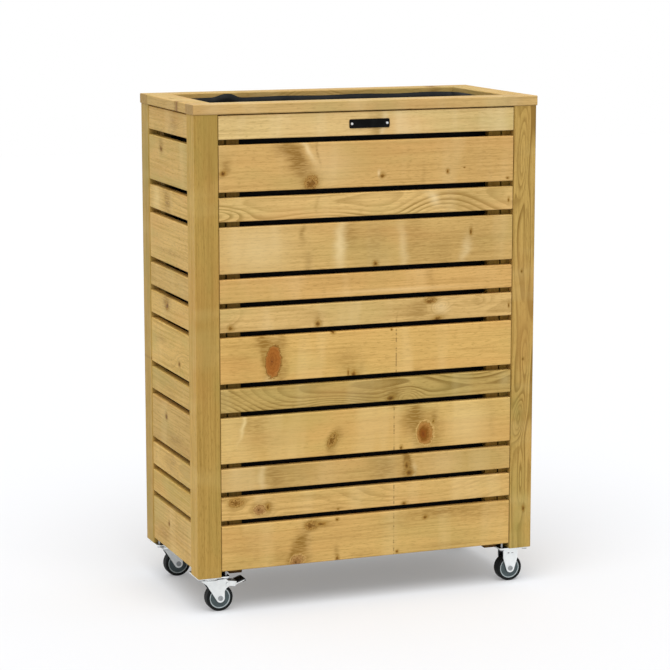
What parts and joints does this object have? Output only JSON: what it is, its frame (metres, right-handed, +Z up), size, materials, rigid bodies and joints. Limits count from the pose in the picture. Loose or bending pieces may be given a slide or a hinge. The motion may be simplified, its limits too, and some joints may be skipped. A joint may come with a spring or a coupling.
{
  "type": "planter",
  "caption": "Tall rectangular slatted wooden planter with a dark liner, on small casters; those at one end swivel and have foot brakes.",
  "frame": {"origin": "on the floor under the centre of the box", "axes": "+Z up, front face towards -Y, +X along the front towards the fixed casters"},
  "size_m": [0.703, 0.348, 0.979],
  "materials": {
    "post_wood": "planed",
    "slat_wood": "planed",
    "rim_wood": "planed",
    "frame_wood": "planed",
    "liner_fabric": "matt",
    "plate_black": "satin",
    "screw_zinc": "zinc-plated",
    "zinc_steel": "zinc-plated",
    "ball_steel": "polished",
    "wheel_core": "moulded",
    "wheel_guard": "moulded",
    "tyre_rubber": "matt",
    "pedal_plastic": "ribbed"
  },
  "bodies": {
    "box": {"post_front_left": "post_wood", "post_front_right": "post_wood", "post_back_left": "post_wood", "post_back_right": "post_wood", "rim_front": "rim_wood", "rim_back": "rim_wood", "rim_left": "rim_wood", "rim_right": "rim_wood", "front_slat_1": "slat_wood", "front_slat_2": "slat_wood", "front_slat_3": "slat_wood", "front_slat_4": "slat_wood", "front_slat_5": "slat_wood", "front_slat_6": "slat_wood", "front_slat_7": "slat_wood", "front_slat_8": "slat_wood", "front_slat_9": "slat_wood", "front_slat_10": "slat_wood", "front_slat_11": "slat_wood", "front_slat_12": "slat_wood", "back_slats": "slat_wood", "side_slats": "slat_wood", "panel_battens": "frame_wood", "corner_cleats": "frame_wood", "top_rails": "frame_wood", "floor_bearers": "frame_wood", "floor_boards": "frame_wood", "liner": "liner_fabric", "nameplate": "plate_black", "nameplate_screws": "screw_zinc", "caster_screws": "screw_zinc", "swivel_kingpins": "zinc_steel", "swivel_balls": "ball_steel", "fixed_axles": "zinc_steel", "front_right_bracket": "zinc_steel", "back_right_bracket": "zinc_steel", "front_left_plate": "zinc_steel", "back_left_plate": "zinc_steel"},
    "front_left_swivel": {"front_left_fork": "zinc_steel", "front_left_axle": "zinc_steel", "front_left_brake_pin": "zinc_steel"},
    "back_left_swivel": {"back_left_fork": "zinc_steel", "back_left_axle": "zinc_steel", "back_left_brake_pin": "zinc_steel"},
    "front_left_wheel": {"front_left_wheel_core": "wheel_core", "front_left_tyre": "tyre_rubber", "front_left_wheel_guards": "wheel_guard"},
    "back_left_wheel": {"back_left_wheel_core": "wheel_core", "back_left_tyre": "tyre_rubber", "back_left_wheel_guards": "wheel_guard"},
    "front_right_wheel": {"front_right_wheel_core": "wheel_core", "front_right_tyre": "tyre_rubber", "front_right_wheel_guards": "wheel_guard"},
    "back_right_wheel": {"back_right_wheel_core": "wheel_core", "back_right_tyre": "tyre_rubber", "back_right_wheel_guards": "wheel_guard"},
    "front_left_brake": {"front_left_brake_lever": "zinc_steel", "front_left_brake_pedal": "pedal_plastic"},
    "back_left_brake": {"back_left_brake_lever": "zinc_steel", "back_left_brake_pedal": "pedal_plastic"}
  },
  "joints": [
    {"name": "front_left_swivel_turn", "type": "hinge", "parent": "box", "child": "front_left_swivel", "pos_m": [-0.3165, -0.136, 0.068], "axis": [0, 0, 1], "continuous": true},
    {"name": "back_left_swivel_turn", "type": "hinge", "parent": "box", "child": "back_left_swivel", "pos_m": [-0.3165, 0.136, 0.068], "axis": [0, 0, 1], "continuous": true},
    {"name": "front_left_wheel_spin", "type": "hinge", "parent": "front_left_swivel", "child": "front_left_wheel", "pos_m": [-0.2985, -0.136, 0.0265], "axis": [0, 1, 0], "continuous": true},
    {"name": "back_left_wheel_spin", "type": "hinge", "parent": "back_left_swivel", "child": "back_left_wheel", "pos_m": [-0.2985, 0.136, 0.0265], "axis": [0, 1, 0], "continuous": true},
    {"name": "front_right_wheel_spin", "type": "hinge", "parent": "box", "child": "front_right_wheel", "pos_m": [0.3165, -0.136, 0.0265], "axis": [0, 1, 0], "continuous": true},
    {"name": "back_right_wheel_spin", "type": "hinge", "parent": "box", "child": "back_right_wheel", "pos_m": [0.3165, 0.136, 0.0265], "axis": [0, 1, 0], "continuous": true},
    {"name": "front_left_brake_press", "type": "hinge", "parent": "front_left_swivel", "child": "front_left_brake", "pos_m": [-0.284, -0.136, 0.054], "axis": [0, 1, 0], "range_deg": [0, 20]},
    {"name": "back_left_brake_press", "type": "hinge", "parent": "back_left_swivel", "child": "back_left_brake", "pos_m": [-0.284, 0.136, 0.054], "axis": [0, 1, 0], "range_deg": [0, 20]}
  ]
}
